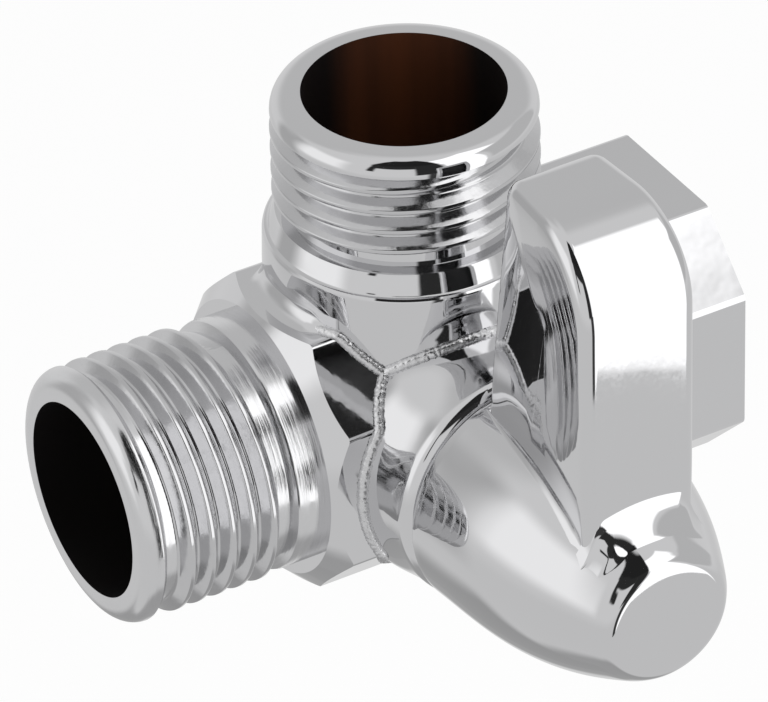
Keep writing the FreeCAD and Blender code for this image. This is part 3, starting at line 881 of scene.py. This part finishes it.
def stopGroove():
    # the quarter-turn groove in the hub's back that the stop pin runs in
    g = groove
    inner, outer = g["radius"] - g["half"], g["radius"] + g["half"]
    bm = bmesh.new()
    verts = [bm.verts.new((r, y, 0)) for r, y in ((inner, g["back"]), (outer, g["back"]),
                                                   (outer, g["floor"]), (inner, g["floor"]))]
    bmesh.ops.spin(bm, geom=[bm.faces.new(verts)], cent=(0, 0, 0), axis=(0, 1, 0), angle=math.radians(90), steps=48)
    bmesh.ops.recalc_face_normals(bm, faces=bm.faces[:])
    bmesh.ops.rotate(bm, cent=(0, 0, 0), matrix=Matrix.Rotation(g["from"], 3, "Y"), verts=bm.verts[:])
    return bm


# the second slot is the near-black painted shade of the blade's hollow
hub = newMesh("cast_handle", hubBlank(), [handleChrome, hollowPaintedShade], place=False)
combine(hub, [("DIFFERENCE", driveSocket(), handleChrome), ("DIFFERENCE", screwHole(), handleChrome),
              ("DIFFERENCE", stopGroove(), handleChrome)])
both = bmesh.new()
both.from_mesh(hub.data)
for added in (leverBlade(), filletSkirt(), flareSkin()):
    mesh = bpy.data.meshes.new("added")
    added.to_mesh(mesh)
    added.free()
    both.from_mesh(mesh)
    bpy.data.meshes.remove(mesh)
both.transform(intoFrame)
both.to_mesh(hub.data)
both.free()
finishSmooth(hub, 30)
dress(hub, "lever", "chromed_handle", "handle")
print("handle made:", len(hub.data.polygons), "faces")


# metres; the sheet lies just over the floor and is seen only in reflections
studio = {"floorDrop": 0.245, "floorHalf": 1.6, "floorGlow": 0.85, "sheetLift": 0.004, "tent": 1.2,
          "grey": 0.78, "white": 1.04}


def makeFloor():
    bm = bmesh.new()
    bmesh.ops.create_grid(bm, x_segments=8, y_segments=8, size=studio["floorHalf"])
    bmesh.ops.translate(bm, vec=(0, 0, -studio["floorDrop"]), verts=bm.verts[:])
    material, tree, shader = newMaterial("paleFloor", Base_Color=(0.8, 0.8, 0.8, 1), Roughness=0.9)
    glow = addNode(tree, "ShaderNodeEmission", Strength=studio["white"])
    path = addNode(tree, "ShaderNodeLightPath")
    seen = addNode(tree, "ShaderNodeMath", {"operation": "MAXIMUM"})
    tree.links.new(path.outputs["Is Camera Ray"], seen.inputs[0])
    tree.links.new(path.outputs["Is Glossy Ray"], seen.inputs[1])
    seenToo = addNode(tree, "ShaderNodeMath", {"operation": "MAXIMUM"})
    tree.links.new(seen.outputs[0], seenToo.inputs[0])
    tree.links.new(path.outputs["Is Transmission Ray"], seenToo.inputs[1])
    share = addNode(tree, "ShaderNodeMath", {"operation": "MULTIPLY"})
    share.inputs[1].default_value = studio["floorGlow"]
    tree.links.new(seenToo.outputs[0], share.inputs[0])
    mix = addNode(tree, "ShaderNodeMixShader")
    tree.links.new(share.outputs[0], mix.inputs[0])
    tree.links.new(shader.outputs[0], mix.inputs[1])
    tree.links.new(glow.outputs[0], mix.inputs[2])
    tree.links.new(mix.outputs[0], tree.nodes["Material Output"].inputs["Surface"])
    floor = newMesh("floor", bm, [material], place=False)


def direction(azimuth, elevation):
    # azimuth 0 looks along -Y, +90 along +X
    a, e = math.radians(azimuth), math.radians(elevation)
    return Vector((math.sin(a) * math.cos(e), -math.cos(a) * math.cos(e), math.sin(e)))


# panels of the light tent, each over the ones before it: azimuth from and to, elevation from and to, softness of
# the sides and of the ends, all in degrees, then the level
tentPanels = [
    (-180, 180, -90, -14, 9, 16, 0.7),
    (-180, 180, -90, -64, 9, 10, 0.42),
    (-122, -82, -5, 38, 14, 14, 1.12),
    (-180, -132, -80, -44, 14, 12, 0.4),
    (160, 180, -80, -44, 10, 12, 0.42),
    (-152, -128, -26, 36, 12, 14, 0.5),
    (100, 180, 20, 70, 25, 25, 0.62),
    (-180, -140, 20, 70, 25, 25, 0.62),
    (-14, 62, 43, 69, 8, 3, 1.5),
    (5, 37, -31.05, 0, 3, 0.06, 1.5),
    (5, 37, -6, 62, 3, 4, 1.5),
    (42, 100, -6, 41, 5, 6, 0.6),
    (-64, 2, 46, 82, 4, 4, 0.02),
    (-62, -56, 14, 52, 3, 4, 0.03),
    (-58, -20, 34, 50, 4, 4, 0.03),
    (-22, 2, -4, 50, 4, 4, 0.03),
    (-12, 7, -31.05, -2, 5, 0.1, 0.05),
]


def makeWorld():
    world = bpy.data.worlds.new("paleRoom")
    bpy.context.scene.world = world
    world.use_nodes = True
    world.node_tree.nodes["Background"].inputs["Color"].default_value = (1, 1, 1, 1)
    world.node_tree.nodes["Background"].inputs["Strength"].default_value = 1.0


def makeTent():
    # a dome round the object, seen only in its reflections; its grey, white and black panels are set by direction
    low = -studio["floorDrop"] + studio["sheetLift"]
    dome = bmesh.new()
    bmesh.ops.create_uvsphere(dome, u_segments=64, v_segments=32, radius=studio["tent"])
    bmesh.ops.bisect_plane(dome, geom=dome.verts[:] + dome.edges[:] + dome.faces[:], plane_co=(0, 0, low),
                           plane_no=(0, 0, -1), clear_outer=True)
    bmesh.ops.reverse_faces(dome, faces=dome.faces[:])
    sheet = bmesh.new()
    bmesh.ops.create_circle(sheet, cap_ends=True, segments=64, radius=studio["tent"])
    bmesh.ops.translate(sheet, vec=(0, 0, low), verts=sheet.verts[:])
    material = bpy.data.materials.new("tentCloth")
    material.use_nodes = True
    tree = material.node_tree
    link = tree.links.new
    tree.nodes.remove(tree.nodes["Principled BSDF"])
    where = addNode(tree, "ShaderNodeTexCoord")
    unit = addNode(tree, "ShaderNodeVectorMath", {"operation": "NORMALIZE"})
    link(where.outputs["Object"], unit.inputs[0])
    split = addNode(tree, "ShaderNodeSeparateXYZ")
    link(unit.outputs["Vector"], split.inputs[0])
    frontward = addNode(tree, "ShaderNodeMath", {"operation": "MULTIPLY"})
    frontward.inputs[1].default_value = -1
    link(split.outputs["Y"], frontward.inputs[0])
    azimuth = addNode(tree, "ShaderNodeMath", {"operation": "ARCTAN2"})
    link(split.outputs["X"], azimuth.inputs[0])
    link(frontward.outputs[0], azimuth.inputs[1])
    elevation = addNode(tree, "ShaderNodeMath", {"operation": "ARCSINE"})
    link(split.outputs["Z"], elevation.inputs[0])

    def band(value, low, high, soft):
        edges = []
        for start, end in ((low - soft / 2, low + soft / 2), (high + soft / 2, high - soft / 2)):
            step = addNode(tree, "ShaderNodeMapRange", {"interpolation_type": "SMOOTHSTEP"})
            step.inputs["From Min"].default_value = math.radians(start)
            step.inputs["From Max"].default_value = math.radians(end)
            link(value, step.inputs["Value"])
            edges.append(step)
        both = addNode(tree, "ShaderNodeMath", {"operation": "MULTIPLY"})
        link(edges[0].outputs["Result"], both.inputs[0])
        link(edges[1].outputs["Result"], both.inputs[1])
        return both.outputs[0]

    level = None
    # a panel that reaches the back or the foot of the dome has no soft edge there
    past = 20
    for west, east, low, high, softSide, softEnd, target in tentPanels:
        side = band(azimuth.outputs[0], west - past * (west == -180), east + past * (east == 180), softSide)
        rise = band(elevation.outputs[0], low - past * (low == -90), high, softEnd)
        mask = addNode(tree, "ShaderNodeMath", {"operation": "MULTIPLY"})
        link(side, mask.inputs[0])
        link(rise, mask.inputs[1])
        mix = addNode(tree, "ShaderNodeMix", {"data_type": "FLOAT"})
        mix.inputs["A"].default_value = studio["grey"]
        mix.inputs["B"].default_value = target
        if level is not None:
            link(level, mix.inputs["A"])
        link(mask.outputs[0], mix.inputs["Factor"])
        level = mix.outputs["Result"]
    glow = addNode(tree, "ShaderNodeEmission")
    link(level, glow.inputs["Strength"])
    link(glow.outputs[0], tree.nodes["Material Output"].inputs["Surface"])
    material.cycles.emission_sampling = "NONE"
    for name, shell in (("light_tent", dome), ("table_sheet", sheet)):
        part = newMesh(name, shell, [material], place=False)
        part.location = (-0.001 * common["inletReach"], 0, 0)
        part.visible_camera = False
        part.visible_shadow = False
        part.visible_diffuse = name == "light_tent"


def softbox(name, azimuth, elevation, distance, width, height, radiance):
    light = bpy.data.lights.new(name, "AREA")
    light.shape = "RECTANGLE"
    light.size, light.size_y = width, height
    light.energy = radiance * math.pi * width * height
    lamp = bpy.data.objects.new(name, light)
    bpy.context.scene.collection.objects.link(lamp)
    away = direction(azimuth, elevation)
    lamp.location = Vector((-0.001 * common["inletReach"], 0, 0)) + away * distance
    lamp.rotation_euler = away.to_track_quat("Z", "Y").to_euler()
    lamp.visible_camera = False
    lamp.visible_glossy = False


# the camera fitted to the photo, in millimetres, degrees and the photo's pixels
fit = {"azimuth": -29.62523, "elevation": 35.14269, "roll": -1.56614, "distance": 573.3981, "focal": 7251.5716,
       "centre": (411.1273, 381.4326), "frame": (768, 702)}
away = direction(fit["azimuth"], fit["elevation"])
right = Vector((math.cos(math.radians(fit["azimuth"])), math.sin(math.radians(fit["azimuth"])), 0))
upward = away.cross(right)
roll = math.radians(fit["roll"])
across = math.cos(roll) * right + math.sin(roll) * upward
upright = math.cos(roll) * upward - math.sin(roll) * right
offX = (fit["centre"][0] - fit["frame"][0] / 2) * fit["distance"] / fit["focal"]
offY = -(fit["centre"][1] - fit["frame"][1] / 2) * fit["distance"] / fit["focal"]
place = (fit["distance"] * away - offX * across - offY * upright - Vector((common["inletReach"], 0, 0))) * 0.001
cameraData = bpy.data.cameras.new("camera")
camera = bpy.data.objects.new("camera", cameraData)
bpy.context.scene.collection.objects.link(camera)
camera.matrix_world = Matrix([[across[i], upright[i], away[i], place[i]] for i in range(3)] + [[0, 0, 0, 1]])
cameraData.sensor_width = 36
cameraData.lens = fit["focal"] * 36 / fit["frame"][0]
cameraData.clip_end = 20
bpy.context.scene.camera = camera

makeWorld()
makeFloor()
makeTent()
softbox("frontStrip", 18.5, 13, 0.44, 0.215, 0.8, 1.35)
softbox("topBox", 38, 56, 0.5, 0.56, 0.26, 1.4)
bpy.context.scene.view_settings.view_transform = "Standard"
print("stage and camera set")
